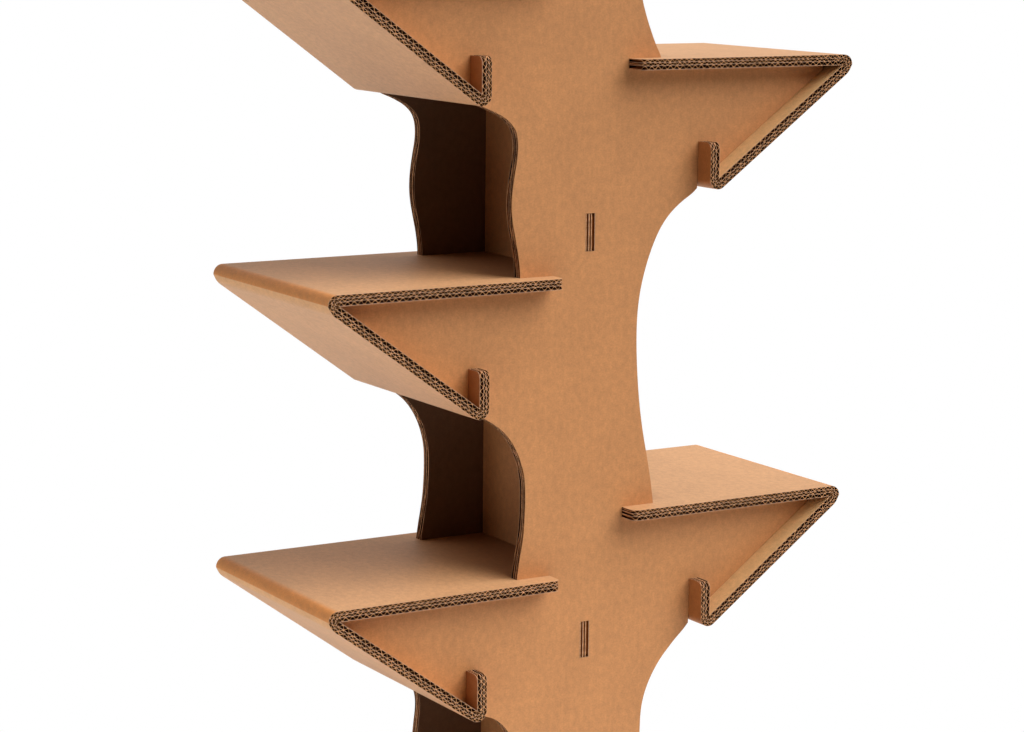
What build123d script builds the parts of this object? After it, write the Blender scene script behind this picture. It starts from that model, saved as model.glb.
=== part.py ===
from build123d import *

import math
import os

# Cardboard display stand in the form of a tree: two upright panels with branches on both sides,
# one upright spine board between them, and folded shelves that are slid onto the branches.
# Millimetres. X runs to the right as seen from the front, Y to the back, Z up from the floor.
# The origin is on the floor, below the middle of the spine.

# The board, listed from the good face inwards: a liner, then a fluted layer and a liner, three times
LINER = 0.7
FLUTE_LAYERS = (3.6, 3.6, 5.0)
BOARD = sum(FLUTE_LAYERS) + (len(FLUTE_LAYERS) + 1) * LINER
OPEN_FLUTE = 3.0  # how deep the fluted layers stand open behind a cut edge
FIT = 0.3  # clearance of each slot round the board that it takes

# The stand
STAND_HEIGHT = 2000.0
PANEL_SPREAD = 287.0  # over the outer faces of the two panels

# The folded shelf, whose places are measured from the middle of the spine and from its top face
SHELF_DEPTH = 350.0  # along Y, past the panels in front and behind
SHELF_REACH = 420.3  # to the outermost point of the fold
SHELF_DROP = 183.3  # from the top face to the lowest point of the lower fold
FOLD_RADIUS = 14.0
HOOK_REACH = 177.4  # to the trunk side of the upturned hook
HOOK_RISE = 65.3  # height of the hook over the lowest point of the shelf
HOOK_CORNER = 9.0
TONGUE_REACH = 59.5  # to the end of the tongues that lie along the outside of the trunk
TONGUE_CORNER = 10.5

# Levels of the shelves' top faces, and the least height of trunk above the last of them
LEFT_FIRST = 389.0
LEFT_PITCH = 420.5
RIGHT_FIRST = 266.0
RIGHT_PITCH = 628.7
LEAST_CROWN = 300.0

# The trunk of the panels
TRUNK_EDGE = 112.0  # half width where the trunk rises out of a shelf
TOP_EDGE = 116.0  # half width at the top of the stand
TOP_CORNER = 14.0
FOOT_REACH = 250.0
FOOT_TOE = 12.0  # height of the blunt end of a foot
BRANCH_TIP = 8.0  # height of the blunt end of a branch inside the fold

# The tabs of the spine, which end flush in the faces of the panels
SPINE_TAB_FIRST = 133.4  # to the middle of the lowest tab
SPINE_TAB_PITCH = 576.7
SPINE_TAB_HEIGHT = 51.7
LEAST_SPINE_TOP = 100.0  # least height of spine above the middle of the last tab

# Curves of the trunk between two levels: how far down, as a share of the way, and how far the edge
# lies in there from the straight line between the curve's two ends
LEFT_CROWN = ((0.15, 8.4), (0.4, 16.4), (0.65, 16.4), (0.87, 8.5))
LEFT_BAYS = (
    ((0.031, 20.7), (0.05, 29.0), (0.084, 36.9), (0.12, 42.2), (0.16, 46.3), (0.26, 46.8), (0.42, 33.6),
     (0.62, 17.7), (0.82, 6.2)),
    ((0.035, 12.6), (0.061, 21.3), (0.09, 29.0), (0.126, 36.2), (0.176, 42.7), (0.242, 47.7), (0.34, 50.1),
     (0.437, 48.2), (0.53, 42.8), (0.66, 33.4), (0.765, 24.1), (0.88, 11.9)),
    ((0.02, 6.6), (0.034, 14.2), (0.052, 22.4), (0.071, 30.4), (0.095, 37.4), (0.122, 42.7), (0.155, 45.9),
     (0.2, 46.2), (0.29, 41.0), (0.4, 29.5), (0.49, 20.6), (0.58, 13.4), (0.68, 8.9), (0.8, 6.9),
     (0.91, 4.4)),
)
LEFT_FOOT = ((0.04, 15.0), (0.12, 43.8), (0.28, 73.5), (0.46, 89.6), (0.66, 90.2), (0.86, 57.8))
RIGHT_CROWN = ((0.18, 21.3), (0.42, 42.3), (0.64, 45.4), (0.83, 32.7), (0.95, 11.4))
RIGHT_BAYS = (
    ((0.018, 6.3), (0.042, 16.7), (0.077, 30.2), (0.106, 40.1), (0.137, 48.0), (0.18, 55.9), (0.25, 61.5),
     (0.34, 58.4), (0.5, 49.6), (0.68, 35.3), (0.86, 16.1)),
    ((0.015, 6.6), (0.034, 18.8), (0.055, 30.7), (0.082, 42.2), (0.122, 53.3), (0.17, 61.4), (0.24, 68.6),
     (0.335, 72.5), (0.45, 68.4), (0.575, 57.8), (0.735, 38.8), (0.88, 16.3)),
)
RIGHT_FOOT = ((0.14, 19.3), (0.4, 39.3), (0.72, 39.6))


def levels_up(first, pitch, room):
    """Levels from the first one up, one pitch apart, as many as leave the given room below the top."""
    count = math.floor((STAND_HEIGHT - room - first) / pitch) + 1
    return [first + i * pitch for i in range(count)]


# Worked out from the sizes above
PANEL_OUTER = PANEL_SPREAD / 2
PANEL_INNER = PANEL_OUTER - BOARD
SPINE_HALF = BOARD / 2
HALF_DEPTH = SHELF_DEPTH / 2
HOOK_TOP = HOOK_RISE - SHELF_DROP
LEFT_LEVELS = levels_up(LEFT_FIRST, LEFT_PITCH, LEAST_CROWN)
RIGHT_LEVELS = levels_up(RIGHT_FIRST, RIGHT_PITCH, LEAST_CROWN)
SPINE_TAB_LEVELS = levels_up(SPINE_TAB_FIRST, SPINE_TAB_PITCH, LEAST_SPINE_TOP)
CUT = 2 * BOARD  # how far a cutting block reaches past the board


def flute_bands():
    """The nearest and farthest depth of each fluted layer, from the good face inwards."""
    bands = []
    depth = LINER
    for height in FLUTE_LAYERS:
        bands.append((depth, depth + height))
        depth += height + LINER
    return bands


# The section of a folded shelf on the right side, with its top face at Z = 0

OUTER_CENTRE = (SHELF_REACH - FOLD_RADIUS, -FOLD_RADIUS)
LOWER_CENTRE = (HOOK_REACH + FOLD_RADIUS, FOLD_RADIUS - SHELF_DROP)
SLOPE = math.atan2(OUTER_CENTRE[1] - LOWER_CENTRE[1], OUTER_CENTRE[0] - LOWER_CENTRE[0])


def slant_z(x, depth):
    """Height of the slanting part at x, at a depth under its outer face."""
    rise = (x - OUTER_CENTRE[0]) * math.tan(SLOPE)
    return OUTER_CENTRE[1] + rise - (FOLD_RADIUS - depth) / math.cos(SLOPE)


def slant_x(z, depth):
    """Place of the slanting part at height z, at a depth under its outer face."""
    drop = OUTER_CENTRE[1] - z - (FOLD_RADIUS - depth) / math.cos(SLOPE)
    return OUTER_CENTRE[0] - drop / math.tan(SLOPE)


def around(centre, radius, angle):
    """A point of the section on a circle, with the angle in radians from +X."""
    return (centre[0] + radius * math.cos(angle), 0, centre[1] + radius * math.sin(angle))


def fold_line(depth, start, top):
    """The line through the sheet at one depth: flap from start, outer fold, slant, lower fold, hook."""
    first = (start, 0, -depth)
    last = (HOOK_REACH + depth, 0, top)
    radius = FOLD_RADIUS - depth
    if radius <= 0:
        outer_corner = (slant_x(-depth, depth), 0, -depth)
        lower_corner = (HOOK_REACH + depth, 0, slant_z(HOOK_REACH + depth, depth))
        return [Line(first, outer_corner), Line(outer_corner, lower_corner), Line(lower_corner, last)]
    down = SLOPE - math.pi / 2
    flap_end = around(OUTER_CENTRE, radius, math.pi / 2)
    crease = around(OUTER_CENTRE, radius, 0)
    slant_start = around(OUTER_CENTRE, radius, down)
    slant_end = around(LOWER_CENTRE, radius, down)
    hook_start = around(LOWER_CENTRE, radius, -math.pi)
    return [
        Line(first, flap_end),
        ThreePointArc(flap_end, around(OUTER_CENTRE, radius, math.pi / 4), crease),
        Line(crease, slant_start),
        Line(slant_start, slant_end),
        ThreePointArc(slant_end, around(LOWER_CENTRE, radius, (down - math.pi) / 2), hook_start),
        Line(hook_start, last),
    ]


def sheet(near, far, front, back):
    """The folded sheet between two depths under its outer face and two places along Y."""
    start = SPINE_HALF + FIT
    near_line = fold_line(near, start, HOOK_TOP)
    far_line = fold_line(far, start, HOOK_TOP)
    ends = [Line(near_line[0] @ 0, far_line[0] @ 0), Line(near_line[-1] @ 1, far_line[-1] @ 1)]
    section = make_face(near_line + far_line + ends)
    return Pos(0, front, 0) * extrude(section, back - front, dir=(0, 1, 0))


def block(x, y, z):
    """A box between two limits each way."""
    size = (x[1] - x[0], y[1] - y[0], z[1] - z[0])
    return Pos((x[0] + x[1]) / 2, (y[0] + y[1]) / 2, (z[0] + z[1]) / 2) * Box(*size)


def both_ends(near, far):
    """The limits of a stretch along Y and of the same stretch on the other side of the middle."""
    return ((-far, -near), (near, far))


def right_shelf():
    """One folded shelf for the right side, with its top face at Z = 0."""
    shelf = sheet(0, BOARD, -HALF_DEPTH, HALF_DEPTH)
    flap = (-BOARD - FIT, FIT)
    for outside in both_ends(PANEL_OUTER, HALF_DEPTH + CUT):
        shelf -= block((0, TONGUE_REACH), outside, flap)
    corners = shelf.edges().filter_by(Axis.Z).group_by(Axis.X)[1]
    shelf = fillet(corners.sort_by(lambda edge: abs(edge.center().Y))[-2:], TONGUE_CORNER)
    corners = shelf.edges().filter_by(Axis.X).filter_by_position(Axis.Z, HOOK_TOP - FIT, HOOK_TOP + FIT)
    shelf = fillet(corners, HOOK_CORNER)
    for near, far in flute_bands():
        for front, back in both_ends(HALF_DEPTH - OPEN_FLUTE, HALF_DEPTH):
            shelf -= sheet(near, far, front, back)
    for panel in both_ends(PANEL_INNER - FIT, PANEL_OUTER + FIT):
        shelf -= block((0, TRUNK_EDGE + FIT), panel, flap)
        hook = (HOOK_REACH - FIT, HOOK_REACH + BOARD + FIT)
        shelf -= block(hook, panel, (hook_halving(), HOOK_TOP + FIT))
    return shelf


def hook_halving():
    """Height at which the hook's slot ends and the panel's slot begins: half way up the hook."""
    return (HOOK_TOP + slant_z(HOOK_REACH + BOARD, BOARD)) / 2


# The outline of the panels, one side at a time

def curve(side, upper, lower, stations):
    """One curve of the trunk's edge between two points, through its stations."""
    points = [(side * upper[0], 0, upper[1])]
    for share, inset in stations:
        width = upper[0] + share * (lower[0] - upper[0]) - inset
        points.append((side * width, 0, upper[1] + share * (lower[1] - upper[1])))
    points.append((side * lower[0], 0, lower[1]))
    return Spline(*points)


def branch(side, level):
    """The edge of a branch, from the trunk's edge over the tip to the heel behind the hook."""
    seat = level - BOARD
    under = FIT / math.cos(SLOPE)
    tip = slant_x(-BOARD - BRANCH_TIP - under, BOARD)
    hook_side = HOOK_REACH + BOARD + FIT
    corners = [
        (TRUNK_EDGE, level),
        (TRUNK_EDGE, seat),
        (tip, seat),
        (tip, seat - BRANCH_TIP),
        (hook_side, level + slant_z(hook_side, BOARD) + under),
        (HOOK_REACH - FIT, level - SHELF_DROP),
    ]
    return Polyline(*[(side * x, 0, z) for x, z in corners])


def side_edges(side, levels, crown, bays, foot):
    """All edges of one side of a panel, in order from the top of the stand to the end of the foot."""
    shoulder = STAND_HEIGHT - TOP_CORNER
    top_end = (side * (TOP_EDGE - TOP_CORNER), 0, STAND_HEIGHT)
    bulge = TOP_CORNER * math.sqrt(0.5)
    middle = (side * (TOP_EDGE - TOP_CORNER + bulge), 0, shoulder + bulge)
    edges = [ThreePointArc(top_end, middle, (side * TOP_EDGE, 0, shoulder))]
    edges.append(curve(side, (TOP_EDGE, shoulder), (TRUNK_EDGE, levels[-1]), crown))
    for i in range(len(levels) - 1, -1, -1):
        edges += branch(side, levels[i]).edges()
        heel = (HOOK_REACH - FIT, levels[i] - SHELF_DROP)
        if i > 0:
            bay = bays[(i - 1) % len(bays)]
            edges.append(curve(side, heel, (TRUNK_EDGE, levels[i - 1]), bay))
        else:
            edges.append(curve(side, heel, (FOOT_REACH, FOOT_TOE), foot))
    edges.append(Line((side * FOOT_REACH, 0, FOOT_TOE), (side * FOOT_REACH, 0, 0)))
    return edges


def front_panel():
    """The upright panel in front."""
    edges = side_edges(-1, LEFT_LEVELS, LEFT_CROWN, LEFT_BAYS, LEFT_FOOT)
    edges += side_edges(1, RIGHT_LEVELS, RIGHT_CROWN, RIGHT_BAYS, RIGHT_FOOT)
    edges.append(Line((TOP_CORNER - TOP_EDGE, 0, STAND_HEIGHT), (TOP_EDGE - TOP_CORNER, 0, STAND_HEIGHT)))
    edges.append(Line((FOOT_REACH, 0, 0), (-FOOT_REACH, 0, 0)))
    panel = Pos(0, -PANEL_OUTER, 0) * extrude(make_face(edges), BOARD, dir=(0, 1, 0))
    through = (-PANEL_OUTER - FIT, -PANEL_INNER + FIT)
    for side, levels in ((-1, LEFT_LEVELS), (1, RIGHT_LEVELS)):
        hook = sorted((side * (HOOK_REACH - FIT), side * (HOOK_REACH + BOARD + FIT)))
        for level in levels:
            notch = (level - SHELF_DROP - CUT, level + hook_halving() + FIT)
            panel -= block(hook, through, notch)
    half_slot = SPINE_TAB_HEIGHT / 2 + FIT
    for level in SPINE_TAB_LEVELS:
        slot = (level - half_slot, level + half_slot)
        panel -= block((-SPINE_HALF - FIT, SPINE_HALF + FIT), through, slot)
    return panel


def spine():
    """The upright board between the panels, with its tabs through them."""
    board = block((-SPINE_HALF, SPINE_HALF), (-PANEL_INNER, PANEL_INNER), (0, STAND_HEIGHT))
    for level in SPINE_TAB_LEVELS:
        height = (level - SPINE_TAB_HEIGHT / 2, level + SPINE_TAB_HEIGHT / 2)
        board += block((-SPINE_HALF, SPINE_HALF), (-PANEL_OUTER, PANEL_OUTER), height)
        for tab_end in both_ends(PANEL_OUTER - OPEN_FLUTE, PANEL_OUTER):
            for near, far in flute_bands():
                board -= block((near - SPINE_HALF, far - SPINE_HALF), tab_end, height)
    return board


front = front_panel()
shelf = right_shelf()
other_shelf = mirror(shelf, about=Plane.YZ)

nodes = {
    "front_panel": front,
    "back_panel": mirror(front, about=Plane.XZ),
    "spine": spine(),
}
for i, level in enumerate(LEFT_LEVELS):
    nodes[f"left_shelf_{i + 1}"] = Pos(0, 0, level) * other_shelf
for i, level in enumerate(RIGHT_LEVELS):
    nodes[f"right_shelf_{i + 1}"] = Pos(0, 0, level) * shelf

os.makedirs("parts", exist_ok=True)
for name, solid in nodes.items():
    export_step(solid, f"parts/{name}.step")
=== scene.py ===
import math

import bmesh
import bpy
import numpy as np
from mathutils import Matrix, Vector
from mathutils.geometry import delaunay_2d_cdt


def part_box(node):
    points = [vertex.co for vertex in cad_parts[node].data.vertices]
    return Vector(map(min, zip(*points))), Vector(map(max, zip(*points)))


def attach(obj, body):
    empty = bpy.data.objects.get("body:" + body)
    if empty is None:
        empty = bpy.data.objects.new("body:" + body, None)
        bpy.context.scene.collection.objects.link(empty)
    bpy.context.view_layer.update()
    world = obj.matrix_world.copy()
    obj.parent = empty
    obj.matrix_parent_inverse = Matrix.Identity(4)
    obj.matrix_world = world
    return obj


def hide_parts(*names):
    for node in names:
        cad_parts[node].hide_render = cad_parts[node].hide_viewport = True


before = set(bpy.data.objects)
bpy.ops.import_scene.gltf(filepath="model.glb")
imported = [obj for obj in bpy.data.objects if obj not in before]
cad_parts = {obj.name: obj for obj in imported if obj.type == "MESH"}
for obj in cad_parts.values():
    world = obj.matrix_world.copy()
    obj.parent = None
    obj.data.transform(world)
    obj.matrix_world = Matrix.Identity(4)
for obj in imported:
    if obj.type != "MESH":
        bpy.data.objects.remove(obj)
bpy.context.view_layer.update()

# The looks of a cardboard display stand. Each board is drawn again as a sheet of three-flute board:
# two faces, four liners, and between them the waves of the flutes, which stand open at the cut edges.
# A place on a board is (u, v, depth): u runs across the flutes, v along them, and depth is counted
# from the good face inwards. Lengths are in metres.

MM = 0.001

# The board
LINER = 0.7 * MM
# Height and pitch of each layer of flutes, from the good face inwards
FLUTES = ((3.6 * MM, 8.13 * MM), (3.6 * MM, 8.13 * MM), (5.0 * MM, 10.14 * MM))
BOARD = sum(height for height, pitch in FLUTES) + (len(FLUTES) + 1) * LINER  # thickness of the board
WAVE_WALLS = (1.2 * MM, 1.0 * MM, 1.1 * MM)  # thickness of each fluted paper, frayed as it is at the cut
WAVE_SETBACK = 0.1 * MM  # how far the fluted paper ends behind the liners
SHORTEST_WAVE = 0.05 * MM  # how far the fluted paper reaches in at a corner, at the least
OPEN_DEPTH = 7.0 * MM  # how far the flutes can be seen into
TAB_DEPTH = 3.0 * MM  # the same at the ends of the spine board's tabs, which lie along the flutes
WAVE_STEP = 0.9 * MM  # length of one facet of a fluted paper across the flutes
RIM_STEP = 1.8 * MM  # length of one facet of a liner across the flutes
EDGE_STEP = 12.0 * MM  # length of one facet along the flutes
INSET_FACETS = 5  # facets into the board where the cut isn't square to the flutes
FLAT_WAVE = 1.4  # towards 0 gives a sine wave, more gives steeper flanks
SPINE_SEED = 4.56  # places the spine board's flutes, which stand open at the ends of its tabs
SHELF_SEEDS = 10  # the first shelf's seed

# Unevenness, as sine waves: (size, length across and length along the flutes for one radian, and how many
# times the start shifts it)
WANDER = ((0.16 * MM, 3.7 * MM, 41 * MM, 1), (0.14 * MM, 9.1 * MM, -23 * MM, 2))  # of the inner liners
UNEVEN_PITCH = ((0.35, 31 * MM, math.inf, 1), (0.15, 7.3 * MM, math.inf, 2))  # of the flutes, in radians
FRAYING = ((0.2, 5.3 * MM, math.inf, 1), (0.15, 2.9 * MM, math.inf, 3))  # of the fluted paper's thickness
CRUSHING = ((0.3, 2.7 * MM, math.inf, 1),)  # of what the cut leaves of the outer liner's thickness
CRUSHED = 0.5  # what it leaves on average
# How far a seed and each further layer shift the start of these waves, in radians
LINER_SHIFT = (1.3, 2.0)
FLUTE_SHIFT = (1.7, 2.1)

# The folded shelf
FIT = 0.3 * MM
FOLD_RADIUS = 14.0 * MM
HOOK_REACH = 177.4 * MM
HOOK_RISE = 65.3 * MM
HOOK_CORNER = 9.0 * MM
TONGUE_REACH = 59.5 * MM
TONGUE_CORNER = 10.5 * MM
TRUNK_EDGE = 112.0 * MM
FOLD_FACETS = 12  # facets of a fold whose outside is round
NOSE_FACETS = 8  # facets of the rounded upper half of the outer fold, whose lower half is flat
FOLD_GUARD = 2.0 * MM  # the shading of a fold ends this far out on the flat parts
WIDE_GUARD = 3 * FOLD_GUARD  # the same where more room is left
ROUNDING = 6.0 * MM  # length to either side of the outer fold's end that its soft bend takes
ROUNDING_FACETS = 4
CORNER_FACETS = 8

# Outlines that are read from the frame
CORNER_TURN = math.radians(28)  # a sharper turn than this is a corner, a lesser one lies on a curve
NO_TURN = 1e-3  # a lesser turn, in radians, is none
CURVE_FACETS = 4  # facets for each stretch of a curve between two points of the frame
STRAIGHT_RATIO = 4  # a stretch so many times longer than the next one is straight
STRAIGHT_BEND = 0.01  # a stretch whose ends turn less than this is straight
SQUARE = 0.02  # an edge that rises less than this along the flutes is square to them
OPEN_END = math.radians(150)  # a stretch's end with a wider angle needs no mitre
LEAST_SHARE = 0.4  # keeps the mitre of a sharp corner short
SAME_PLANE = 0.01 * MM
SAME_POINT = 0.01 * MM
NEAR_LINE = 0.001 * MM
EDGE_REACH = 0.5 * MM  # what lies this near to an edge counts as on it

SHARP = math.radians(31)  # edges sharper than this aren't shaded smooth
WELD = 0.002 * MM
SLIVER = 0.001 * MM
FACE, BACK, CUT, PAPER, DEEP, FLANK = range(6)  # material slots of a board
HOLLOWS = (6, 7, 8)  # the slots for the hollows of each layer of flutes


class Board:
    """Collects the faces of one board, as places on the sheet, and turns them into an object.

    surface gives the positions for places on the sheet, and open_depth is how far the flutes stand open."""

    def __init__(self, surface, open_depth):
        self.surface = surface
        self.open_depth = open_depth
        self.places = []
        self.faces = []
        self.slots = []
        self.count = 0

    def add(self, places):
        """Adds an array of places and returns their numbers in the same arrangement."""
        places = np.asarray(places, float)
        flat = places.reshape(-1, 3)
        numbers = self.count + np.arange(len(flat)).reshape(places.shape[:-1])
        self.places.append(flat)
        self.count += len(flat)
        return numbers

    def grid(self, rows, slots, closed=False, ring=False):
        """Faces between each row and the next. closed joins a row's ends, ring the last row and the first."""
        numbers = self.add(rows)
        if closed:
            numbers = np.concatenate([numbers, numbers[:, :1]], axis=1)
        if ring:
            numbers = np.concatenate([numbers, numbers[:1]], axis=0)
        for i, slot in enumerate(slots):
            low, high = numbers[i], numbers[i + 1]
            quads = np.stack([low[:-1], low[1:], high[1:], high[:-1]], axis=1)
            self.faces += quads.tolist()
            self.slots += [slot] * len(quads)
        return numbers

    def triangles(self, places, triples, slot):
        """Faces over an array of places, given by three of its numbers each."""
        numbers = self.add(places)
        self.faces += numbers[np.asarray(triples)].tolist()
        self.slots += [slot] * len(triples)

    def build(self, name, materials):
        """The object, whose attribute sheet keeps each point's place on the sheet for the materials."""
        places = np.concatenate(self.places)
        mesh = bpy.data.meshes.new(name)
        mesh.from_pydata(self.surface(places).tolist(), [], self.faces)
        mesh.polygons.foreach_set("material_index", np.array(self.slots, np.int32))
        sheet = mesh.attributes.new("sheet", "FLOAT_VECTOR", "POINT")
        sheet.data.foreach_set("vector", places.astype(np.float32).ravel())
        for material in materials:
            mesh.materials.append(material)
        tidy = bmesh.new()
        tidy.from_mesh(mesh)
        bmesh.ops.remove_doubles(tidy, verts=tidy.verts, dist=WELD)
        bmesh.ops.dissolve_degenerate(tidy, dist=SLIVER, edges=tidy.edges)
        bmesh.ops.recalc_face_normals(tidy, faces=tidy.faces)
        tidy.to_mesh(mesh)
        tidy.free()
        mesh.shade_smooth()
        mesh.set_sharp_from_angle(angle=SHARP)
        piece = bpy.data.objects.new(name, mesh)
        bpy.context.scene.collection.objects.link(piece)
        return piece


# Loops on the sheet, as arrays of (u, v)

def signed_area(loop):
    """The area inside a loop, positive where it runs anticlockwise."""
    after = np.roll(loop, -1, axis=0)
    return 0.5 * float(np.sum(loop[:, 0] * after[:, 1] - after[:, 0] * loop[:, 1]))


def turns(loop):
    """The turn at each point of a closed loop, positive to the left."""
    before = loop - np.roll(loop, 1, axis=0)
    after = np.roll(loop, -1, axis=0) - loop
    cross = before[:, 0] * after[:, 1] - before[:, 1] * after[:, 0]
    return np.arctan2(cross, np.sum(before * after, axis=1))


def smooth_loop(loop):
    """The loop with more points along its curves, on a smooth line through the points that it has."""
    corner = np.abs(turns(loop)) > CORNER_TURN
    before = loop - np.roll(loop, 1, axis=0)
    after = np.roll(loop, -1, axis=0) - loop
    length_before = np.linalg.norm(before, axis=1, keepdims=True)
    length_after = np.linalg.norm(after, axis=1, keepdims=True)
    tangent = before * (length_after / length_before) + after * (length_before / length_after)
    tangent = np.where(length_before > STRAIGHT_RATIO * length_after, before, tangent)
    tangent = np.where(length_after > STRAIGHT_RATIO * length_before, after, tangent)
    tangent /= np.linalg.norm(tangent, axis=1, keepdims=True)
    points = []
    for i in range(len(loop)):
        j = (i + 1) % len(loop)
        chord = loop[j] - loop[i]
        length = float(length_after[i, 0])
        leave = chord / length if corner[i] else tangent[i]
        arrive = chord / length if corner[j] else tangent[j]
        bend = max(np.linalg.norm(leave - chord / length), np.linalg.norm(arrive - chord / length))
        count = CURVE_FACETS if bend > STRAIGHT_BEND else 1
        for k in range(count):
            t = k / count
            points.append((2 * t ** 3 - 3 * t ** 2 + 1) * loop[i] + (3 * t ** 2 - 2 * t ** 3) * loop[j]
                          + (t ** 3 - 2 * t ** 2 + t) * length * leave + (t ** 3 - t ** 2) * length * arrive)
    return np.array(points)


def inward_mitres(loop):
    """For each point of a loop with the board on its left, how it moves for one unit of inset."""
    after = np.roll(loop, -1, axis=0) - loop
    after /= np.linalg.norm(after, axis=1, keepdims=True)
    normal_after = np.stack([-after[:, 1], after[:, 0]], axis=1)
    normal_before = np.roll(normal_after, 1, axis=0)
    both = normal_before + normal_after
    share = 1 + np.sum(normal_before * normal_after, axis=1, keepdims=True)
    return both / np.maximum(share, LEAST_SHARE)


def inside(loops, points):
    """Which points lie on the board: inside the first loop and outside the others."""
    result = np.zeros(len(points), bool)
    for loop in loops:
        after = np.roll(loop, -1, axis=0)
        for (u0, v0), (u1, v1) in zip(loop, after):
            if v0 == v1:
                continue
            between = (v0 > points[:, 1]) != (v1 > points[:, 1])
            crossing = u0 + (points[:, 1] - v0) * (u1 - u0) / (v1 - v0)
            result ^= between & (points[:, 0] < crossing)
    return result


def fill(loops, lines):
    """Triangles that fill the board, cut along lines of constant u: (places, triples).

    The triangulation works in millimetres."""
    margin = 1.0
    tolerance = 1e-5
    points = []
    edges = []
    for loop in loops:
        first = len(points)
        points += [Vector(point / MM) for point in loop]
        edges += [(first + i, first + (i + 1) % len(loop)) for i in range(len(loop))]
    low = min(loop[:, 1].min() for loop in loops) / MM - margin
    high = max(loop[:, 1].max() for loop in loops) / MM + margin
    for u in lines:
        edges.append((len(points), len(points) + 1))
        points += [Vector((u / MM, low)), Vector((u / MM, high))]
    filled = delaunay_2d_cdt(points, edges, [], 0, tolerance)
    places = np.array([tuple(point) for point in filled[0]]) * MM
    triples = np.array(filled[2])
    triples = triples[inside(loops, places[triples].mean(axis=1))]
    used, numbers = np.unique(triples, return_inverse=True)
    return places[used], numbers.reshape(triples.shape)


# The parts of a board

def uneven(value, unevenness, places, start):
    """The value at places (u, v), with the sine waves of an unevenness added."""
    for size, across, along, shifts in unevenness:
        value = value + size * np.sin(places[:, 0] / across + places[:, 1] / along + shifts * start)
    return value


def liner_faces(number, places, seed):
    """Depths of the two faces of a liner at places (u, v).

    The two inner liners wander a little, and the cut leaves the outer one crushed."""
    near = np.full(len(places), number * LINER + sum(height for height, pitch in FLUTES[:number]))
    thickness = LINER
    if number == 0:
        thickness = LINER * uneven(CRUSHED, CRUSHING, places, seed)
    elif number < len(FLUTES):
        start = seed * LINER_SHIFT[0] + number * LINER_SHIFT[1]
        near = uneven(near, WANDER, places, start)
    return near, near + thickness


def rim_section(places, seed):
    """The section of a cut edge at places (u, v), as (share of the open depth, depths), and its slots."""
    corners = []
    slots = []
    for number in range(len(FLUTES) + 1):
        near, far = liner_faces(number, places, seed)
        corners += [(0, near), (0, far)]
        slots.append(CUT)
        if number < len(FLUTES):
            corners += [(1, far), (1, liner_faces(number + 1, places, seed)[0])]
            slots += [HOLLOWS[number], DEEP, HOLLOWS[number]]
    return corners, slots


def add_faces(board, loops, lines):
    """The good face and the back, cut along lines of constant u."""
    places, triples = fill(loops, lines)
    for depth, slot in ((0.0, FACE), (BOARD, BACK)):
        board.triangles(np.column_stack([places, np.full(len(places), depth)]), triples, slot)


def add_rims(board, loops, shows, seed):
    """The cut edges: liners flush with the outline, and hollows between them where the edge shows."""
    for loop in loops:
        mitres = inward_mitres(loop)
        open_depth = np.where(shows(loop), board.open_depth, 0.0)[:, None]
        corners, slots = rim_section(loop, seed)
        rows = []
        for share, depth in corners:
            rows.append(np.column_stack([loop + mitres * open_depth * share, depth]))
        board.grid(np.array(rows), slots, closed=True)


def fine_where(loop, shows):
    """The loop with more points on the stretches that show."""
    seen = shows(loop)
    seen &= np.roll(seen, -1)
    points = []
    for start, end, shown in zip(loop, np.roll(loop, -1, axis=0), seen):
        count = facets(start, end, RIM_STEP) if shown else 1
        points += [start + (end - start) * k / count for k in range(count)]
    return np.array(points)


def facets(start, end, step):
    """How many facets the stretch between two points gets, with a step across the flutes."""
    across = abs(end[0] - start[0]) / step
    along = np.linalg.norm(end - start) / EDGE_STEP
    return max(1, math.ceil(max(across, along)))


def split_at(loop, lines):
    """The loop with a point wherever it crosses a line of constant u."""
    points = []
    for start, end in zip(loop, np.roll(loop, -1, axis=0)):
        points.append(start)
        low, high = sorted((start[0], end[0]))
        crossed = [u for u in lines if low + NEAR_LINE < u < high - NEAR_LINE]
        for u in sorted(crossed, reverse=start[0] > end[0]):
            points.append(start + (end - start) * (u - start[0]) / (end[0] - start[0]))
    return np.array(points)


def open_runs(loop, shows):
    """The stretches of a loop that show: (points, whether it is square to the flutes, angle at each end).

    A stretch ends at a corner, and where the edge stops or starts to be square to the flutes."""
    turn = turns(loop)
    after = np.roll(loop, -1, axis=0)
    seen = shows((loop + after) / 2)
    square = np.abs(after[:, 1] - loop[:, 1]) < SQUARE * np.linalg.norm(after - loop, axis=1)
    ends = (np.abs(turn) > CORNER_TURN) | (seen != np.roll(seen, 1)) | (square != np.roll(square, 1))
    count = len(loop)
    for i in np.flatnonzero(ends & seen):
        j = (i + 1) % count
        run = [loop[i], loop[j]]
        while not ends[j]:
            j = (j + 1) % count
            run.append(loop[j])
        yield np.array(run), bool(square[i]), math.pi - turn[i], math.pi - turn[j]


def refine(run):
    """The stretch with enough points to draw the waves of the flutes."""
    points = [run[0]]
    for start, end in zip(run[:-1], run[1:]):
        count = facets(start, end, WAVE_STEP)
        for k in range(1, count + 1):
            points.append(start + (end - start) * k / count)
    return np.array(points)


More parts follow.
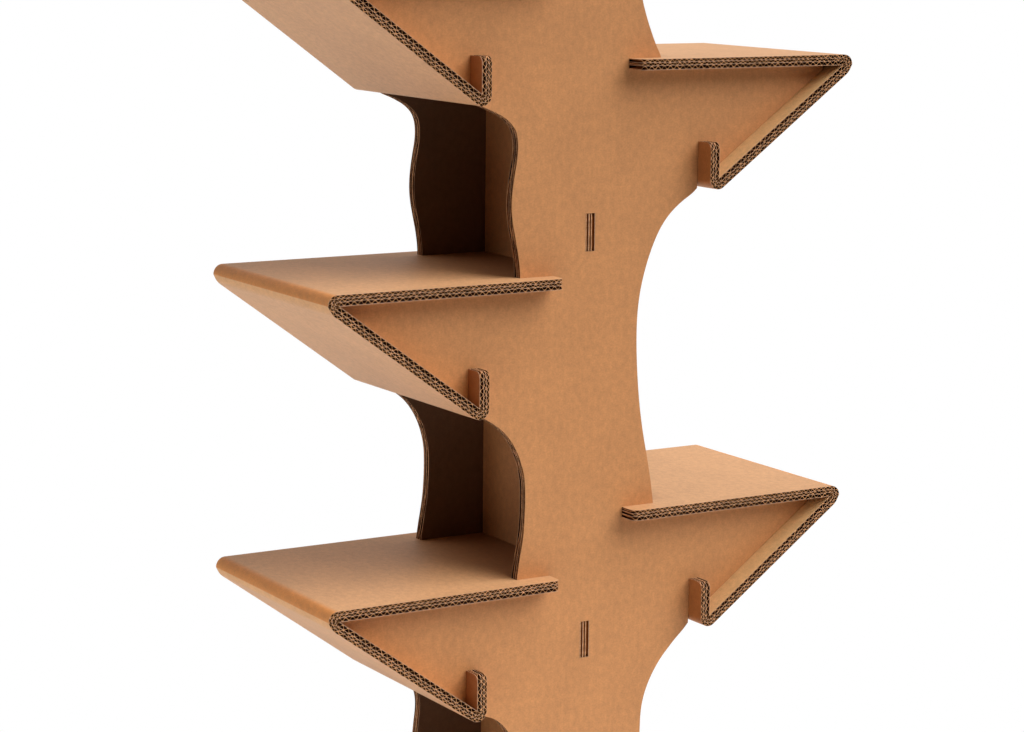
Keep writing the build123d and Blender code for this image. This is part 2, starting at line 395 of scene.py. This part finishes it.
def wave(layer, places, seed):
    """Depths of the two faces of one layer's fluted paper at places (u, v), a little uneven."""
    near = liner_faces(layer, places, seed)[1]
    far = liner_faces(layer + 1, places, seed)[0]
    start = seed * FLUTE_SHIFT[0] + layer * FLUTE_SHIFT[1]
    phase = 2 * math.pi * places[:, 0] / FLUTES[layer][1] + start
    phase = uneven(phase, UNEVEN_PITCH, places, start)
    rise = np.tanh(FLAT_WAVE * np.sin(phase)) / math.tanh(FLAT_WAVE)
    wall = WAVE_WALLS[layer] * uneven(1, FRAYING, places, start)
    middle = (near + far) / 2 + (far - near - wall) / 2 * rise
    return middle - wall / 2, middle + wall / 2


def add_flutes(board, loop, shows, seed):
    """The fluted papers behind the cut edges that show."""
    for run, square, first_angle, last_angle in open_runs(loop, shows):
        points = refine(run)
        tangent = np.gradient(points, axis=0)
        tangent /= np.linalg.norm(tangent, axis=1, keepdims=True)
        normal = np.stack([-tangent[:, 1], tangent[:, 0]], axis=1)
        steps = np.linalg.norm(np.diff(points, axis=0), axis=1)
        way = np.concatenate([[0.0], np.cumsum(steps)])
        limit = np.full(len(points), board.open_depth)
        if first_angle < OPEN_END:
            limit = np.minimum(limit, way * math.tan(first_angle / 2))
        if last_angle < OPEN_END:
            limit = np.minimum(limit, (way[-1] - way) * math.tan(last_angle / 2))
        limit = np.maximum(limit, WAVE_SETBACK + SHORTEST_WAVE)
        count = 1 if square else INSET_FACETS
        insets = [WAVE_SETBACK + (limit - WAVE_SETBACK) * k / count for k in range(count + 1)]
        for layer in range(len(FLUTES)):
            near = []
            far = []
            for inset in insets:
                place = points + normal * inset[:, None]
                upper, lower = wave(layer, place, seed)
                near.append(np.column_stack([place, upper]))
                far.append(np.column_stack([place, lower]))
            rows = np.array(near + far[::-1])
            side = HOLLOWS[layer] if square else FLANK
            slots = [side] * count + [DEEP] + [side] * count + [PAPER]
            numbers = board.grid(rows, slots, ring=True)
            for end in (numbers[:-1, 0], numbers[:-1, -1]):
                board.faces.append(end.tolist())
                board.slots.append(PAPER)


def make_board(name, node, surface, loops, lines, shows, seed, materials, open_depth=OPEN_DEPTH):
    """One board in place of its node, with the given loops as its outline and cut along the given lines.

    surface turns places on the sheet into positions, and shows says which points of an edge can be seen."""
    board = Board(surface, open_depth)
    edges = [fine_where(split_at(loop, lines), shows) for loop in loops]
    add_faces(board, edges, lines)
    add_rims(board, edges, shows, seed)
    for loop in loops:
        add_flutes(board, loop, shows, seed)
    piece = board.build(name, materials)
    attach(piece, "root")
    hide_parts(node)
    return piece


# Flat boards, whose outlines are read from the frame

def flat_outline(node, axis, sign):
    """The loops round a node's good face, which lies furthest along an axis, in the other two axes."""
    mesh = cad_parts[node].data
    others = [i for i in range(3) if i != axis]
    lowest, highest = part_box(node)
    plane = highest[axis] if sign > 0 else lowest[axis]
    edges = {}  # the edges that only one face of the good side has, each in that face's direction
    places = {}
    for polygon in mesh.polygons:
        corners = [mesh.vertices[i].co for i in polygon.vertices]
        if any(abs(corner[axis] - plane) > SAME_PLANE for corner in corners):
            continue
        keys = []
        for corner in corners:
            key = tuple(round(corner[i] / SAME_POINT) for i in others)
            places[key] = (corner[others[0]], corner[others[1]])
            keys.append(key)
        for start, end in zip(keys, keys[1:] + keys[:1]):
            if (end, start) in edges:
                del edges[(end, start)]
            else:
                edges[(start, end)] = True
    following = {start: end for start, end in edges}
    loops = []
    while following:
        key = next(iter(following))
        loop = []
        while key in following:
            loop.append(places[key])
            key = following.pop(key)
        loops.append(np.array(loop, float))
    loops.sort(key=lambda loop: -abs(signed_area(loop)))
    turned = []
    for i, loop in enumerate(loops):
        wanted = 1 if i == 0 else -1
        turned.append(loop if signed_area(loop) * wanted > 0 else loop[::-1])
    return [smooth_loop(without_straight(loop)) for loop in turned]


def without_straight(loop):
    """The loop without the points that lie on a straight line."""
    return loop[np.abs(turns(loop)) > NO_TURN]


SHELVES = sorted(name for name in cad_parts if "_shelf_" in name)
PANELS = ("front_panel", "back_panel")


def panel_shows(points):
    """Which points of a panel's outline aren't hidden: in a shelf, or in a slot of the spine board."""
    seen = np.abs(points[:, 0]) > 2 * BOARD
    for shelf in SHELVES:
        lowest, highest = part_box(shelf)
        within = (points[:, 0] > lowest.x - EDGE_REACH) & (points[:, 0] < highest.x + EDGE_REACH)
        within &= (points[:, 1] > lowest.z + EDGE_REACH) & (points[:, 1] < highest.z - EDGE_REACH)
        seen &= ~within
    top = points[:, 1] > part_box(PANELS[0])[1].z - EDGE_REACH
    return (seen | top) & (points[:, 1] > EDGE_REACH)


def make_panel(node, seed, materials):
    """A panel, whose good face is turned outwards. Its u lies along x and its v along z."""
    lowest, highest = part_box(node)
    sign = -1 if node.startswith("front") else 1
    outer = lowest.y if sign < 0 else highest.y

    def surface(places):
        return np.column_stack([places[:, 0], outer - sign * places[:, 2], places[:, 1]])

    loops = flat_outline(node, 1, sign)
    return make_board(node + "_board", node, surface, loops, [], panel_shows, seed, materials)


def make_spine(materials):
    """The upright board between the panels. Its u lies along y and its v along z."""
    lowest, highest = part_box("spine")

    def surface(places):
        return np.column_stack([lowest.x + places[:, 2], places[:, 0], places[:, 1]])

    def shows(points):
        tab_end = np.abs(points[:, 0]) > highest.y - EDGE_REACH
        return tab_end | (points[:, 1] > highest.z - EDGE_REACH)

    loops = flat_outline("spine", 0, -1)
    return make_board("spine_board", "spine", surface, loops, [], shows, SPINE_SEED,
                      materials, TAB_DEPTH)


# The folded shelves, whose u runs from the spine board round both folds to the top of the hook

def shelf_sections(start, reach, drop):
    """The outer and the inner line of a right shelf's section, point for point, in x and z.

    start and reach are the distances from the middle of the stand to the flap's end and to the outer fold,
    and drop is the shelf's height. It also gives how far along the sheet each point lies, and the inner
    corner of the lower fold."""
    outer_centre = np.array([reach - FOLD_RADIUS, -FOLD_RADIUS])
    lower_centre = np.array([HOOK_REACH + FOLD_RADIUS, FOLD_RADIUS - drop])
    along = outer_centre - lower_centre
    along /= np.linalg.norm(along)
    slope = math.atan2(along[1], along[0])
    down = np.array([along[1], -along[0]])
    hook_top = HOOK_RISE - drop

    def meet(point_a, way_a, point_b, way_b):
        """Where two lines cross."""
        shares = np.linalg.solve(np.column_stack([way_a, -way_b]), point_b - point_a)
        return point_a + shares[0] * way_a

    right = np.array([1.0, 0.0])
    up = np.array([0.0, 1.0])
    flap_inner = np.array([start, -BOARD])
    slant_inner = outer_centre + down * (FOLD_RADIUS - BOARD)
    hook_inner = np.array([HOOK_REACH + BOARD, hook_top])
    outer_corner = meet(flap_inner, right, slant_inner, along)
    lower_corner = meet(slant_inner, along, hook_inner, up)

    def flat(point, normal):
        """The outer and the inner point where the sheet is flat."""
        return (point, point - normal * BOARD)

    def arc(centre, first, last, corner, count):
        """The outer points of a fold, each with the corner inside it."""
        angles = np.linspace(first, last, count + 1)
        return [(centre + FOLD_RADIUS * np.array([math.cos(a), math.sin(a)]), corner) for a in angles]

    slant_angle = slope - math.pi / 2
    fold_end = outer_centre + down * FOLD_RADIUS
    crease = outer_centre + right * FOLD_RADIUS
    bend_start = fold_end + ROUNDING * (crease - fold_end) / np.linalg.norm(crease - fold_end)
    bend_end = fold_end - ROUNDING * along
    slant_start = bend_end - along * FOLD_GUARD
    slant_end = lower_centre + down * FOLD_RADIUS + along * WIDE_GUARD
    pairs = [flat(np.array([start, 0.0]), up)]
    pairs.append(flat(np.array([outer_centre[0] - WIDE_GUARD, 0.0]), up))
    pairs += arc(outer_centre, math.pi / 2, 0.0, outer_corner, NOSE_FACETS)
    for t in np.linspace(0, 1, ROUNDING_FACETS + 1):
        point = (1 - t) ** 2 * bend_start + 2 * t * (1 - t) * fold_end + t ** 2 * bend_end
        past_corner = max(0.0, float(np.dot(outer_corner + down * BOARD - point, along)))
        pairs.append((point, outer_corner - along * past_corner))
    pairs += [flat(slant_start, down), flat(slant_end, down)]
    pairs += arc(lower_centre, slant_angle, -math.pi, lower_corner, FOLD_FACETS)
    pairs.append(flat(np.array([HOOK_REACH, lower_centre[1] + WIDE_GUARD]), -right))
    pairs.append(flat(np.array([HOOK_REACH, hook_top]), -right))
    outer, inner = (np.array(side) for side in zip(*pairs))
    way = np.concatenate([[0.0], np.cumsum(np.linalg.norm(np.diff(outer, axis=0), axis=1))])
    return outer, inner, way, lower_corner


def rounded_corner(corner, back, on, radius):
    """Points of a quarter circle that rounds the corner, given the ways from the corner back and on."""
    back = np.array(back)
    on = np.array(on)
    centre = np.array(corner) + radius * (back + on)
    angles = np.linspace(0, math.pi / 2, CORNER_FACETS + 1)
    return [centre - radius * (math.cos(angle) * on + math.sin(angle) * back) for angle in angles]


def shelf_outline(start, length, half_depth, halving):
    """The loop round an unfolded shelf, with the board on its left.

    half_depth is half its size along the folds, and halving is the depth of the slots in its hook."""
    panel_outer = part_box(PANELS[1])[1].y
    slot_near = panel_outer - BOARD - FIT
    slot_far = panel_outer + FIT
    tongue = TONGUE_REACH - start
    slot_end = TRUNK_EDGE + FIT - start
    bottom = length - halving
    half = [(length, slot_near), (bottom, slot_near), (bottom, slot_far), (length, slot_far)]
    half += rounded_corner((length, half_depth), (0, -1), (-1, 0), HOOK_CORNER)
    half += rounded_corner((tongue, half_depth), (1, 0), (0, -1), TONGUE_CORNER)
    half += [(tongue, slot_far), (slot_end, slot_far), (slot_end, slot_near), (0.0, slot_near)]
    half = np.array([tuple(point) for point in half])
    other = half[::-1] * np.array([1, -1])
    return np.concatenate([half, other])


def make_shelf(node, seed, materials):
    """A folded shelf, on the side of the trunk where its node is."""
    lowest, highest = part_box(node)
    side = 1 if lowest.x > 0 else -1
    reach = max(abs(lowest.x), abs(highest.x))
    start = min(abs(lowest.x), abs(highest.x))
    drop = highest.z - lowest.z
    outer, inner, way, lower_corner = shelf_sections(start, reach, drop)

    def surface(places):
        share = places[:, 2] / BOARD
        section = []
        for k in range(2):
            near = np.interp(places[:, 0], way, outer[:, k])
            far = np.interp(places[:, 0], way, inner[:, k])
            section.append(near + (far - near) * share)
        return np.column_stack([side * section[0], places[:, 1], highest.z + section[1]])

    length = way[-1]
    halving = (HOOK_RISE - drop - lower_corner[1]) / 2

    def shows(points):
        outside = np.abs(points[:, 1]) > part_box(PANELS[1])[1].y + 2 * FIT
        return outside | (points[:, 0] > length - FIT)

    loops = [shelf_outline(start, length, highest.y, halving)]
    lines = [float(u) for u in way[1:-1]]
    return make_board(node + "_board", node, surface, loops, lines, shows, seed, materials)


# Materials

NOISE_RANGE = (0.3, 0.7)  # between these lies nearly all of a noise
# Patterns in the tone of a face: (length across and length along the flutes, detail, darkest, lightest)
CLOUDS = (60 * MM, 80 * MM, 2.0, 0.96, 1.04)
STREAKS = (8 * MM, 11 * MM, 2.0, 0.92, 1.08)
FIBRES = (2.8 * MM, 2.4 * MM, 4.0, 0.91, 1.09)
SHEEN = (2 * MM, 2 * MM, 2.0, 0.55, 0.65)  # the same for its roughness
KRAFT_ROUGHNESS = 0.6
CUT_ROUGHNESS = 0.95
GRAIN = (1.2 * MM, 0.5 * MM, 3.0)  # lengths and detail of its relief
GRAIN_HEIGHT = 0.05 * MM
GRAIN_STRENGTH = 0.35
BAND_TONE = (0.995, 1.005)
BAND_HEIGHT = 0.03 * MM
BAND_STRENGTH = 0.5
BAND_LENGTH = 40  # how many times longer along the flutes than across them the stripes waver
STRIPES = 20 / (2 * math.pi)  # how many stripes the wave texture has in one unit
CUT_PATCH = 6 * MM
CUT_FIBRE = 0.9 * MM
CUT_DETAIL = 3.0


def srgb(red, green, blue):
    """A colour written as it shows on screen, from 0 to 255, for a shader."""
    def linear(value):
        value /= 255
        return value / 12.92 if value <= 0.04045 else ((value + 0.055) / 1.055) ** 2.4
    return (linear(red), linear(green), linear(blue), 1.0)


def new_material(name, colour, roughness, specular=0.5):
    """A material with one shader: (material, node tree, shader)."""
    material = bpy.data.materials.new(name)
    material.use_nodes = True
    shader = material.node_tree.nodes["Principled BSDF"]
    shader.inputs["Base Color"].default_value = colour
    shader.inputs["Roughness"].default_value = roughness
    shader.inputs["Specular IOR Level"].default_value = specular
    return material, material.node_tree, shader


def node_of(tree, kind, **values):
    """A new node with the given settings."""
    made = tree.nodes.new(kind)
    for key, value in values.items():
        setattr(made, key, value)
    return made


def scaled_sheet(tree, across, along):
    """The place on the sheet, scaled so that a pattern has the given lengths across and along the flutes."""
    sheet = node_of(tree, "ShaderNodeAttribute", attribute_name="sheet")
    scale = node_of(tree, "ShaderNodeVectorMath", operation="MULTIPLY")
    scale.inputs[1].default_value = (1 / across, 1 / along, 1 / BOARD)
    tree.links.new(sheet.outputs["Vector"], scale.inputs[0])
    return scale.outputs["Vector"]


def noise(tree, vector, detail):
    """A noise whose patches are about one unit wide."""
    made = node_of(tree, "ShaderNodeTexNoise")
    made.inputs["Scale"].default_value = 1.0
    made.inputs["Detail"].default_value = detail
    tree.links.new(vector, made.inputs["Vector"])
    return made.outputs["Fac"]


def remap(tree, value, low, high, source=NOISE_RANGE):
    """The value, whose range is the source, spread over low to high."""
    made = node_of(tree, "ShaderNodeMapRange")
    made.inputs["From Min"].default_value = source[0]
    made.inputs["From Max"].default_value = source[1]
    made.inputs["To Min"].default_value = low
    made.inputs["To Max"].default_value = high
    tree.links.new(value, made.inputs["Value"])
    return made.outputs["Result"]


def pattern(tree, across, along, detail, low, high):
    """A noise on the sheet with the given lengths, spread over low to high."""
    return remap(tree, noise(tree, scaled_sheet(tree, across, along), detail), low, high)


def multiply(tree, first, second):
    made = node_of(tree, "ShaderNodeMath", operation="MULTIPLY")
    for i, value in enumerate((first, second)):
        tree.links.new(value, made.inputs[i])
    return made.outputs["Value"]


def washboard(tree):
    """Stripes over the flutes of the layer under the good face, from 0 to 1."""
    stripes = node_of(tree, "ShaderNodeTexWave", wave_type="BANDS", bands_direction="X")
    stripes.inputs["Scale"].default_value = 1.0
    stripes.inputs["Distortion"].default_value = 0.6
    stripes.inputs["Detail"].default_value = 1.0
    pitch = FLUTES[0][1] * STRIPES
    tree.links.new(scaled_sheet(tree, pitch, BAND_LENGTH * pitch), stripes.inputs["Vector"])
    return stripes.outputs["Fac"]


def fade_between(tree, value, low, high, first, last):
    """first where the value is low, last where it is high, and a smooth change between."""
    fade = node_of(tree, "ShaderNodeMapRange", interpolation_type="SMOOTHSTEP")
    fade.inputs["From Min"].default_value = low
    fade.inputs["From Max"].default_value = high
    fade.inputs["To Min"].default_value = first
    fade.inputs["To Max"].default_value = last
    tree.links.new(value, fade.inputs["Value"])
    return fade.outputs["Result"]


def tinted(tree, colour, tints):
    """The colour, multiplied by each tint where u lies between its four bounds, which fade it in and out.

    A tint with a fifth bound stays within that distance of the sheet's middle line."""
    place = node_of(tree, "ShaderNodeSeparateXYZ")
    tree.links.new(scaled_sheet(tree, 1.0, 1.0), place.inputs["Vector"])
    start = node_of(tree, "ShaderNodeRGB")
    start.outputs["Color"].default_value = colour
    result = start.outputs["Color"]
    for bounds, tint in tints:
        fade_in, full, hold, fade_out = bounds[:4]
        share = multiply(tree, fade_between(tree, place.outputs["X"], fade_in, full, 0.0, 1.0),
                         fade_between(tree, place.outputs["X"], hold, fade_out, 1.0, 0.0))
        if len(bounds) > 4:
            aside = node_of(tree, "ShaderNodeMath", operation="ABSOLUTE")
            tree.links.new(place.outputs["Y"], aside.inputs[0])
            near = fade_between(tree, aside.outputs["Value"], bounds[4] - MM, bounds[4], 1.0, 0.0)
            share = multiply(tree, share, near)
        mix = node_of(tree, "ShaderNodeMix", data_type="RGBA", blend_type="MULTIPLY")
        mix.inputs["B"].default_value = (*tint, 1.0)
        tree.links.new(share, mix.inputs["Factor"])
        tree.links.new(result, mix.inputs["A"])
        result = mix.outputs["Result"]
    return result


def kraft_face(name, colour, tints=()):
    """The face of the board: cloudy, streaked over the flutes, with fibres, a soft washboard relief, and the
    tints given, which paint shade and light in places.
    """
    material, tree, shader = new_material(name, colour, KRAFT_ROUGHNESS)
    bands = washboard(tree)
    tone = multiply(tree, pattern(tree, *CLOUDS), pattern(tree, *STREAKS))
    tone = multiply(tree, tone, pattern(tree, *FIBRES))
    tone = multiply(tree, tone, remap(tree, bands, *BAND_TONE, source=(0.0, 1.0)))
    scale = node_of(tree, "ShaderNodeVectorMath", operation="SCALE")
    tree.links.new(tinted(tree, colour, tints), scale.inputs[0])
    tree.links.new(tone, scale.inputs["Scale"])
    tree.links.new(scale.outputs["Vector"], shader.inputs["Base Color"])
    tree.links.new(pattern(tree, *SHEEN), shader.inputs["Roughness"])
    relief = node_of(tree, "ShaderNodeBump")
    relief.inputs["Strength"].default_value = BAND_STRENGTH
    relief.inputs["Distance"].default_value = BAND_HEIGHT
    tree.links.new(bands, relief.inputs["Height"])
    grain = node_of(tree, "ShaderNodeBump")
    grain.inputs["Strength"].default_value = GRAIN_STRENGTH
    grain.inputs["Distance"].default_value = GRAIN_HEIGHT
    tree.links.new(noise(tree, scaled_sheet(tree, *GRAIN[:2]), GRAIN[2]), grain.inputs["Height"])
    tree.links.new(relief.outputs["Normal"], grain.inputs["Normal"])
    tree.links.new(grain.outputs["Normal"], shader.inputs["Normal"])
    return material


def cut_paper(name, colour, low, high):
    """Paper seen at or behind the cut: uneven in tone, with torn fibres."""
    material, tree, shader = new_material(name, colour, CUT_ROUGHNESS, specular=0.1)
    patches = pattern(tree, CUT_PATCH, CUT_PATCH, CUT_DETAIL, low, high)
    fibres = pattern(tree, CUT_FIBRE, CUT_FIBRE, CUT_DETAIL, low, high)
    scale = node_of(tree, "ShaderNodeVectorMath", operation="SCALE")
    scale.inputs[0].default_value = colour[:3]
    tree.links.new(multiply(tree, patches, fibres), scale.inputs["Scale"])
    tree.links.new(scale.outputs["Vector"], shader.inputs["Base Color"])
    return material


# Stage

FLOOR_SIZE = 60.0  # half its width
SHADOW_ZONE = (0.7, 1.6)  # the floor shows the shadow up to the first distance, and is white from the second
LIT_CENTRE = (-0.3, 0.8, 0.0)
LIT_ZONE = (2.4, 3.6)  # between these distances from there, the floor ceases to throw light at the stand
LIT_TONE = 0.9
UNLIT_TONE = 0.05
ROOM_ZONE = (-0.3, 0.6)  # between these, along y, the dim room in front changes to the backdrop


def make_floor():
    """A pale floor that shades the stand's shadow near it and is white further out."""
    mesh = bpy.data.meshes.new("floor")
    size = FLOOR_SIZE
    corners = [(-size, -size, 0), (size, -size, 0), (size, size, 0), (-size, size, 0)]
    mesh.from_pydata(corners, [], [(0, 1, 2, 3)])
    floor = bpy.data.objects.new("floor", mesh)
    bpy.context.scene.collection.objects.link(floor)
    material, tree, shader = new_material("floor", (LIT_TONE, LIT_TONE, LIT_TONE, 1.0), 0.9)
    white = node_of(tree, "ShaderNodeEmission")
    white.inputs["Color"].default_value = (1.0, 1.0, 1.0, 1.0)
    white.inputs["Strength"].default_value = 1.0
    place = node_of(tree, "ShaderNodeTexCoord")
    distance = node_of(tree, "ShaderNodeVectorMath", operation="LENGTH")
    tree.links.new(place.outputs["Object"], distance.inputs[0])
    far = fade_between(tree, distance.outputs["Value"], *SHADOW_ZONE, 0.0, 1.0)
    behind = node_of(tree, "ShaderNodeVectorMath", operation="DISTANCE")
    behind.inputs[1].default_value = LIT_CENTRE
    tree.links.new(place.outputs["Object"], behind.inputs[0])
    lit = fade_between(tree, behind.outputs["Value"], *LIT_ZONE, LIT_TONE, UNLIT_TONE)
    tree.links.new(lit, shader.inputs["Base Color"])
    rays = node_of(tree, "ShaderNodeLightPath")
    seen = node_of(tree, "ShaderNodeMath", operation="ADD", use_clamp=True)
    tree.links.new(rays.outputs["Is Camera Ray"], seen.inputs[0])
    tree.links.new(rays.outputs["Is Glossy Ray"], seen.inputs[1])
    mix = node_of(tree, "ShaderNodeMixShader")
    tree.links.new(multiply(tree, seen.outputs["Value"], far), mix.inputs["Fac"])
    tree.links.new(shader.outputs["BSDF"], mix.inputs[1])
    tree.links.new(white.outputs["Emission"], mix.inputs[2])
    tree.links.new(mix.outputs["Shader"], tree.nodes["Material Output"].inputs["Surface"])
    mesh.materials.append(material)


def make_world(front, behind):
    """A white backdrop behind the stand and a dim, warm room in front, with their strengths as lights."""
    world = bpy.data.worlds.new("studio")
    bpy.context.scene.world = world
    world.use_nodes = True
    tree = world.node_tree
    place = node_of(tree, "ShaderNodeTexCoord")
    way = node_of(tree, "ShaderNodeSeparateXYZ")
    tree.links.new(place.outputs["Generated"], way.inputs["Vector"])
    strength = fade_between(tree, way.outputs["Y"], *ROOM_ZONE, front, behind)
    colour = node_of(tree, "ShaderNodeMix", data_type="RGBA")
    colour.inputs["A"].default_value = (1.0, 0.8, 0.6, 1.0)
    colour.inputs["B"].default_value = (1.0, 1.0, 1.0, 1.0)
    tree.links.new(strength, colour.inputs["Factor"])
    lit = tree.nodes["Background"]
    tree.links.new(colour.outputs["Result"], lit.inputs["Color"])
    tree.links.new(strength, lit.inputs["Strength"])
    seen = node_of(tree, "ShaderNodeBackground")
    seen.inputs["Color"].default_value = (1.0, 1.0, 1.0, 1.0)
    seen.inputs["Strength"].default_value = 1.0
    rays = node_of(tree, "ShaderNodeLightPath")
    mix = node_of(tree, "ShaderNodeMixShader")
    tree.links.new(rays.outputs["Is Camera Ray"], mix.inputs["Fac"])
    tree.links.new(lit.outputs["Background"], mix.inputs[1])
    tree.links.new(seen.outputs["Background"], mix.inputs[2])
    tree.links.new(mix.outputs["Shader"], tree.nodes["World Output"].inputs["Surface"])


def overhead_light(name, way, strength, spread, colour):
    """Even, soft light from far off, from the given way and over a spread in degrees."""
    lamp = bpy.data.lights.new(name, "SUN")
    lamp.energy = strength
    lamp.angle = math.radians(spread)
    lamp.color = colour
    lamp_object = bpy.data.objects.new(name, lamp)
    bpy.context.scene.collection.objects.link(lamp_object)
    lamp_object.location = way
    lamp_object.rotation_euler = Vector(way).to_track_quat("Z", "Y").to_euler()


def low_softbox(name, place, aim, size, power):
    """A wide lamp near the floor, which isn't seen itself."""
    lamp = bpy.data.lights.new(name, "AREA")
    lamp.shape = "RECTANGLE"
    lamp.size, lamp.size_y = size
    lamp.energy = power
    lamp_object = bpy.data.objects.new(name, lamp)
    bpy.context.scene.collection.objects.link(lamp_object)
    lamp_object.location = place
    lamp_object.rotation_euler = (Vector(aim) - Vector(place)).to_track_quat("-Z", "Y").to_euler()
    lamp_object.visible_camera = False
    lamp_object.visible_glossy = False


def make_camera():
    """The photograph's view: place, heading from +Y towards +X, tilt and roll as worked out from it."""
    place = Vector((-1.9952, -3.2477, 1.7267))
    heading = math.radians(31.09)
    tilt = math.radians(-9.65)
    roll = math.radians(0.56)
    forward = Vector((math.sin(heading) * math.cos(tilt), math.cos(heading) * math.cos(tilt), math.sin(tilt)))
    level = Vector((math.cos(heading), -math.sin(heading), 0.0))
    upright = level.cross(forward)
    right = math.cos(roll) * level + math.sin(roll) * upright
    up = math.cos(roll) * upright - math.sin(roll) * level
    lens = bpy.data.cameras.new("photo_camera")
    lens.sensor_width = 36.0
    lens.lens = 94.99
    lens.clip_end = 200.0
    camera = bpy.data.objects.new("photo_camera", lens)
    bpy.context.scene.collection.objects.link(camera)
    matrix = Matrix((right, up, -forward)).transposed().to_4x4()
    matrix.translation = place
    camera.matrix_world = matrix
    bpy.context.scene.camera = camera


# The stand

# Where u lies at the folds of a shelf, and the tints painted on its faces: painted shade on the outer fold's
# rounded nose, on the hooks and deep in the bays, painted light just below the crease, and a darker inside of
# the flap and the outer fold
FOLD_START = 398.5 * MM
CREASE = FOLD_START + math.pi / 2 * FOLD_RADIUS
CREASE_START = CREASE - 0.2 * MM
CREASE_END = CREASE + 0.2 * MM
HOOK_START = 729.0 * MM
HOOK_BOUNDS = (HOOK_START - 30 * MM, HOOK_START, 800 * MM, 801 * MM)  # up to past the sheet's end
BETWEEN_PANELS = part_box(PANELS[1])[0].y
# Painted shade: the top of the flap between the panels is darker near the spine board and fades out by 170 mm
# from it.
bay_painted_shade = ((-MM, 0.0, 25 * MM, 170 * MM, BETWEEN_PANELS), (0.5, 0.41, 0.34))
# Painted shade: the rounded nose of the outer fold, up to the crease, is darker and more orange.
nose_painted_shade = ((FOLD_START - 5 * MM, FOLD_START + 8 * MM, CREASE_START, CREASE_END), (1.11, 0.79, 0.35))
# Painted light: the facet below the crease is lighter and yellower, fading out 20 mm further on.
crease_painted_light = ((CREASE_START, CREASE_END, CREASE + MM, CREASE + 20 * MM), (1.09, 1.05, 0.86))
# Painted shade: the hook's good face is darker and more orange.
hook_painted_shade = (HOOK_BOUNDS, (0.72, 0.5, 0.29))
# Painted shade: the hook's inner face is much darker, as in a hollow.
hook_back_painted_shade = (HOOK_BOUNDS, (0.36, 0.21, 0.165))
# Takes most of the painted light of the inner face back off under the flap and inside the outer fold, leaving
# it a little darker than the good face.
tip_tint = ((0.0, MM, CREASE + 12 * MM, CREASE + 65 * MM), (0.6, 0.55, 0.52))

cut = cut_paper("cut_liner", srgb(194, 153, 124), 0.8, 1.2)
paper = cut_paper("cut_flute", srgb(192, 138, 94), 0.75, 1.25)
# The faces inside the open flutes are far darker than their paper: painted shade in the hollows, layer by
# layer, and near black where the open flutes end.
deep = cut_paper("flute_depth_painted_shade", srgb(20, 11, 6), 0.9, 1.1)
flank = cut_paper("flute_flank_painted_shade", srgb(100, 55, 24), 0.85, 1.1)
hollows = [cut_paper("hollow_1_painted_shade", srgb(78, 46, 18), 0.85, 1.1),
           cut_paper("hollow_2_painted_shade", srgb(54, 32, 18), 0.85, 1.1),
           cut_paper("hollow_3_painted_shade", srgb(56, 26, 10), 0.85, 1.1)]
edges = [cut, paper, deep, flank] + hollows
# Painted shade as well, lighter, in the shallow hollows at the ends of the spine board's tabs.
tab_hollows_painted_shade = cut_paper("tab_hollows_painted_shade", srgb(140, 78, 34), 0.85, 1.1)
panel_face = kraft_face("panel_kraft", srgb(195, 135, 84))
# The panels' inner face: a browner liner, and darker still as painted shade for the bays between the panels.
panel_back = kraft_face("panel_kraft_inside_painted_shade", srgb(108, 80, 58))
# Painted sheen: the shelves are the panels' kraft, made paler here for the paler look that their faces have
# in the light.
shelf_face = kraft_face("shelf_kraft", srgb(199, 150, 106), (bay_painted_shade, nose_painted_shade, crease_painted_light, hook_painted_shade))
# Painted light: the shelves' inner face is far paler than their good face, for light on the inner face of the
# slants; the tints above take it off under the flap and paint shade in the hooks.
shelf_back = kraft_face("shelf_kraft_inside_painted_light_and_shade", srgb(232, 190, 136), (hook_back_painted_shade, tip_tint))
panel_materials = [panel_face, panel_back] + edges
spine_materials = [panel_face, panel_back, cut, paper] + [tab_hollows_painted_shade] * (len(edges) - 2)
shelf_materials = [shelf_face, shelf_back] + edges

for number, panel in enumerate(PANELS):
    make_panel(panel, number, panel_materials)
make_spine(spine_materials)
for number, shelf in enumerate(SHELVES):
    make_shelf(shelf, SHELF_SEEDS + number, shelf_materials)

make_floor()
make_world(front=0.02, behind=0.8)
overhead_light("key", way=(1.1, -1.0, 1.7), strength=1.36 * math.pi, spread=60.0, colour=(1.0, 0.98, 0.94))
low_softbox("left_fill", place=(-1.8, 0.0, 0.08), aim=(0.0, 0.0, 0.9), size=(2.6, 1.4), power=13.0)
make_camera()

bpy.context.scene.view_settings.view_transform = "Standard"
